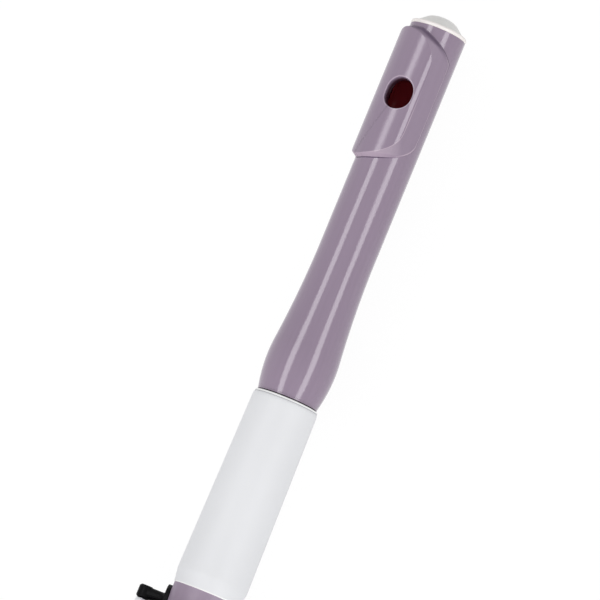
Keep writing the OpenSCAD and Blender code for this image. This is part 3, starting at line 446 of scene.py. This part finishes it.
# Barrel. A white ABS sleeve, moulded, glued on the body and open toward the head for the tenon.
# It widens slowly to a soft bevel at the lower end; a bead and a fine groove run round its mouth.
# The sleeve's points are radius and distance from the upper end of the solid.
barrel_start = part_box("barrel")[0].x / mm
sleeve = np.array([(11.2, 1.8), (11.22, 1.1), (11.26, 0.75), (11.38, 0.58), (11.6, 0.63), (11.7, 0.74),
                   (11.75, 1.06), (11.74, 1.18), (11.6, 1.32), (11.77, 1.46), (11.9, 1.7), (11.98, 2.15),
                   (12.04, 2.9), (12.2, 14.0), (12.6, 41.0), (12.98, 66.6), (13.02, 67.8), (13.0, 68.5),
                   (12.92, 69.2), (12.36, 73.25), (12.34, 73.4), (12.28, 73.6), (12.12, 73.8), (11.5, 73.8),
                   (11.2, 73.2)])
longest_step, outside_r = 1.5, 11.35
# Along the outside, 1 stands for the painted highlight on the bead and the lower lip, and -1 for the
# painted shade in the groove
bead_at = [0.6, 1.12, 1.27, 1.32, 1.4, 1.5, 73.25, 73.4]
bead_or_groove = [1, 1, -0.6, -1, -0.6, 0, 0, 1]
profile = np.concatenate([np.linspace(p, q, int(np.hypot(*(q - p)) / longest_step) + 2)[:-1]
                          for p, q in zip(sleeve, np.roll(sleeve, -1, 0))])
rows = lathe(np.stack([profile[:, 0], profile[:, 1] + barrel_start], 1))
barrel = skin("barrel_sleeve", rows, close_rows=True)
# The positive part is the painted highlight, the negative part the painted shade in the groove
bead = np.interp(profile[:, 1], bead_at, bead_or_groove) * (profile[:, 0] > outside_r)
mark(barrel, "bead", np.repeat(np.maximum(bead, 0), rows.shape[1]))
mark(barrel, "groove", np.repeat(np.maximum(-bead, 0), rows.shape[1]))
fit(barrel, white, "body", "white_plastic", "barrel")

# Shoulder ring. The edge of the head tube's shoulder, of the same polished mauve ABS. It closes the
# groove of the solid, so that the swelling runs on to the mouth of the barrel. Its points count from the
# barrel's upper end too.
ring = np.array([(11.2, -0.45), (11.17, -0.2), (11.14, 0.15), (11.08, 0.2), (10.8, 0.2), (10.8, -0.45)])
rows = lathe(np.stack([ring[:, 0], ring[:, 1] + barrel_start], 1))
shoulder_ring = skin("shoulder_ring", rows, close_rows=True)
shoulder_ring.data.materials.append(mauve)
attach(shoulder_ring, "head")

# Body and foot tubes. Mauve ABS, moulded with their chimneys; the body is glued in the barrel, and the
# foot's socket turns on the body's lower tenon. They come from the mould with a satin skin that spreads
# the light, and aren't polished like the head.
dress(mauve_abs("mauve_abs_satin", "#9a889d", "#9e8ca1", 0.48), "body_tube", "foot_tube")

# Ribs and posts. Black glass-filled nylon, moulded and bonded to the tubes; they carry the rods. The
# nylon is a deep dull black with a grain from the mould; glass at its skin breaks up most of the gloss.
grain_wide, edge_round = 0.6 * mm, 0.4 * mm
black, tree, place = material("black_glass_filled_nylon")
grain = add(tree, "TexNoise", {"Vector": place, "Scale": 1 / grain_wide, "Detail": 2.0}).outputs[0]
soft = add(tree, "Bevel", {"Radius": edge_round}, samples=4).outputs[0]
bump = {"Height": grain, "Strength": 0.12, "Distance": 0.1 * mm, "Normal": soft}
relief = add(tree, "Bump", bump).outputs[0]
grained = add(tree, "MapRange", {0: grain, 1: noise_low, 2: noise_high}).outputs[0]
tones = {6: linear("#08080a"), 7: linear("#0f0f12")}
colour = add(tree, "Mix", {0: grained, **tones}, data_type="RGBA").outputs[2]
shader = add(tree, "BsdfPrincipled", {
    "Base Color": colour, "Roughness": 0.45, "Normal": relief, "IOR": 1.53, "Specular IOR Level": 0.06})
add(tree, "OutputMaterial", {0: shader.outputs[0]})
dress(black, "left_hand_rib", "right_hand_rib", "g_posts", "trill_posts", "thumb_rib", "g_sharp_rib",
      "foot_rib")

# Rods and needle springs. Drawn stainless steel, straight, pushed into the posts.
# Fine lines run along the drawing direction and stretch the highlights.
line_long, line_wide = 30 * mm, 0.2 * mm
steel, tree, place = material("drawn_stainless_steel")
line_scale = (1 / line_long, 1 / line_wide, 1 / line_wide)
drawn_way = add(tree, "Mapping", {"Vector": place, "Scale": line_scale}).outputs[0]
lines = add(tree, "TexNoise", {"Vector": drawn_way, "Scale": 1.0, "Detail": 2.0}).outputs[0]
gloss = add(tree, "MapRange", {0: lines, 3: 0.2, 4: 0.34}).outputs[0]
lined = add(tree, "MapRange", {0: lines, 1: noise_low, 2: noise_high}).outputs[0]
tones = {6: linear("#b4b7bb"), 7: linear("#c9ccd0")}
colour = add(tree, "Mix", {0: lined, **tones}, data_type="RGBA").outputs[2]
shader = add(tree, "BsdfPrincipled", {"Base Color": colour, "Roughness": gloss, "Metallic": 1.0})
add(tree, "OutputMaterial", {0: shader.outputs[0]})
dress(steel, "left_hand_rod", "right_hand_rod", "g_rod", "thumb_rod", "g_sharp_rod", "d_sharp_trill_rod",
      "low_c_rod", "needle_springs", "foot_springs")

# Keys and levers. Each is one white ABS moulding of cup or touch, arm and hinge tube on a steel rod.
# The D sharp trill key and the low C key are pinned to rods that turn with them.
dress(white, *[name for name in frame["nodes"] if name.endswith(("_key", "_lever"))])

# Pads. Soft silicone discs pressed into the cups. The chimney's rim has marked a ring on their faces.
# Silicone is a cloudy ivory that lets a little light in.
cloud_wide, light_depth = 3 * mm, 1 * mm
silicone, tree, place = material("ivory_silicone")
cloud = add(tree, "TexNoise", {"Vector": place, "Scale": 1 / cloud_wide, "Detail": 2.0}).outputs[0]
relief = add(tree, "Bump", {"Height": cloud, "Strength": 0.08, "Distance": 0.1 * mm}).outputs[0]
clouded = add(tree, "MapRange", {0: cloud, 1: noise_low, 2: noise_high}).outputs[0]
tones = {6: linear("#d3cfc4"), 7: linear("#dfdcd3")}
colour = add(tree, "Mix", {0: clouded, **tones}, data_type="RGBA").outputs[2]
shader = add(tree, "BsdfPrincipled", {
    "Base Color": colour, "Roughness": 0.5, "Normal": relief, "IOR": 1.41, "Subsurface Weight": 0.15,
    "Subsurface Radius": (1.0, 0.8, 0.6), "Subsurface Scale": light_depth})
add(tree, "OutputMaterial", {0: shader.outputs[0]})


def pad_disc(points, normal):
    """Rings of a disc that fills a pad's place. Its face looks along -normal. The profile runs from the
    middle of the face, past the groove that the rim left, a bell curve across, round the edge and over
    the flat back."""
    edge, groove_deep, groove_wide, groove_at = 0.35, 0.09, 0.45, 0.83
    lie = points @ normal
    flat = points - np.outer(lie, normal)
    middle = (flat.min(0) + flat.max(0)) / 2
    big = np.linalg.norm(flat - middle, axis=1).max()
    height = np.ptp(lie)
    face_r = np.linspace(0, big - edge, 40)
    face = groove_deep * np.exp(-((face_r - groove_at * big) / groove_wide) ** 2)
    turn = np.linspace(-np.pi / 2, 0, 8)[1:]
    r = np.concatenate([face_r, big - edge + edge * np.cos(turn), [big, 0]])[:, None, None]
    z = np.concatenate([face, edge + edge * np.sin(turn), [height, height]])[:, None, None]
    a = np.linspace(0, 2 * np.pi, 96, endpoint=False)[:, None]
    side = np.array([1.0, 0, 0])
    return middle + (lie.min() + z) * normal + r * (np.cos(a) * side + np.sin(a) * np.cross(normal, side))


# The G key has two pads in one node, which lie further apart than this along the bore
pads_apart = 4
for name in [name for name in frame["nodes"] if name.endswith(("_pad", "_pads"))]:
    mesh = frame["nodes"][name].data
    points = np.zeros(len(mesh.vertices) * 3, np.float32)
    normals = np.zeros(len(mesh.polygons) * 3, np.float32)
    areas = np.zeros(len(mesh.polygons), np.float32)
    mesh.vertices.foreach_get("co", points)
    mesh.polygons.foreach_get("normal", normals)
    mesh.polygons.foreach_get("area", areas)
    points = points.reshape(-1, 3).astype(float) / mm
    normals = normals.reshape(-1, 3).astype(float)
    # The flat faces hold most of the area, so the squared normals add up most along the disc's axis
    normal = np.linalg.eigh((normals * areas[:, None]).T @ normals)[1][:, 2] * (0, 1, 1)
    normal *= np.sign(points.mean(0)[1:] @ normal[1:]) / np.linalg.norm(normal)
    points = points[np.argsort(points[:, 0])]
    body = next(key for key, value in frame["record"]["behaviour"]["bodies"].items() if name in value)
    for k, one in enumerate(np.split(points, np.nonzero(np.diff(points[:, 0]) > pads_apart)[0] + 1)):
        pad = skin(f"{name}_disc_{k + 1}", pad_disc(one, normal))
        fit(pad, silicone, body, "pad", name)

# Floor. A plain white sheet of paper under the flute, laid flat and touching its lowest point.
# It is seen as white and holds a soft shadow.
half = 6
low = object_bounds()[0].z
corners = [(-half, -half, low), (half, -half, low), (half, half, low), (-half, half, low)]
mesh = bpy.data.meshes.new("floor")
mesh.from_pydata(corners, [], [(0, 1, 2, 3)])
floor = bpy.data.objects.new("floor", mesh)
bpy.context.scene.collection.objects.link(floor)


def seen(tree):
    """1 for a ray from the camera, a mirror or a clear body, else 0."""
    path = add(tree, "LightPath").outputs
    both = {0: path["Is Camera Ray"], 1: path["Is Glossy Ray"]}
    either = add(tree, "Math", both, operation="MAXIMUM").outputs[0]
    return add(tree, "Math", {0: either, 1: path["Is Transmission Ray"]}, operation="MAXIMUM").outputs[0]


# Where the paper is seen, most of its light is a plain white glow, and the rest shows the shadow
fibre_wide, white_share, white_level = 2 * mm, 0.9, 1.04
paper, tree, place = material("white_paper")
share = add(tree, "Math", {0: seen(tree), 1: white_share}, operation="MULTIPLY").outputs[0]
fibres = add(tree, "TexNoise", {"Vector": place, "Scale": 1 / fibre_wide, "Detail": 3.0}).outputs[0]
mottled = add(tree, "MapRange", {0: fibres, 1: noise_low, 2: noise_high}).outputs[0]
tones = {6: linear("#f2f2f2"), 7: linear("#f6f6f6")}
colour = add(tree, "Mix", {0: mottled, **tones}, data_type="RGBA").outputs[2]
dull = add(tree, "BsdfDiffuse", {"Color": colour}).outputs[0]
glow = add(tree, "Emission", {"Color": linear("#ffffff"), "Strength": white_level}).outputs[0]
add(tree, "OutputMaterial", {0: add(tree, "MixShader", {0: share, 1: dull, 2: glow}).outputs[0]})
floor.data.materials.append(paper)

# Light. A pale room, white where it is seen or mirrored and brighter toward the foot, and two long strip
# softboxes, 1 m from the bore and beside the camera, that only draw a line of gloss down each flank.
bright_way, dimmest, brightest = (1.0, 0.15, -0.07), 0.3, 1.5
world = bpy.data.worlds.new("studio")
bpy.context.scene.world = world
world.use_nodes = True
tree = world.node_tree
tree.nodes.clear()
way = add(tree, "TexCoord").outputs["Generated"]
along = add(tree, "VectorMath", {0: way, 1: bright_way}, operation="DOT_PRODUCT").outputs["Value"]
dim = add(tree, "MapRange", {0: along, 1: -1.0, 2: 1.0, 3: dimmest, 4: brightest}).outputs[0]
level = add(tree, "Mix", {0: seen(tree), 2: dim, 3: 1.0}).outputs[0]
back = add(tree, "Background", {"Color": linear("#ffffff"), "Strength": level})
add(tree, "OutputWorld", {0: back.outputs[0]})

# The camera looks at the flute from this much to the listener's side of straight above the keys
tilt = np.radians(23.7)
downbore = np.array([1.0, 0, 0])
toward = np.array([0, np.sin(tilt), np.cos(tilt)])
rightward = np.array([0, np.cos(tilt), -np.sin(tilt)])


def stand(data, x, y, z, at):
    """Puts a lamp or camera in place: its own axes and its position are columns of its matrix."""
    made = bpy.data.objects.new(data.name, data)
    bpy.context.scene.collection.objects.link(made)
    made.matrix_world = Matrix([*np.stack([x, y, z, at], 1), (0, 0, 0, 1)])
    return made


strip_x, strip_long, strip_wide, strip_power = -0.45, 1.6, 0.31, 7.0
for name, turn in (("strip_left", -38), ("strip_right", 34)):
    way = toward * np.cos(np.radians(turn)) + rightward * np.sin(np.radians(turn))
    lamp = bpy.data.lights.new(name, "AREA")
    lamp.shape = "RECTANGLE"
    lamp.size, lamp.size_y, lamp.energy = strip_long, strip_wide, strip_power
    strip = stand(lamp, downbore, np.cross(way, downbore), way, downbore * strip_x + way)
    strip.visible_camera = False
    strip.visible_diffuse = False

# Camera. It stands 1.5 m off, square to the flute below the picture, turned so that the head points up to
# the right. It looks at a point of the head joint a little to the player's side of the bore.
stand_off, eye_x, aim_x, aim_side, lean = 1.5, -0.335, -0.5206, 0.00913, np.radians(22.28)
eye = downbore * eye_x + toward * stand_off
aim = downbore * aim_x - rightward * aim_side
forward = (aim - eye) / np.linalg.norm(aim - eye)
up = -np.sin(lean) * rightward - np.cos(lean) * downbore
up -= forward * (up @ forward)
up /= np.linalg.norm(up)
view = bpy.data.cameras.new("camera")
view.sensor_width, view.lens, view.clip_start, view.clip_end = 36.0, 258.4, 0.01, 50
bpy.context.scene.camera = stand(view, np.cross(forward, up), up, -forward, eye)
bpy.context.scene.view_settings.view_transform = "Standard"
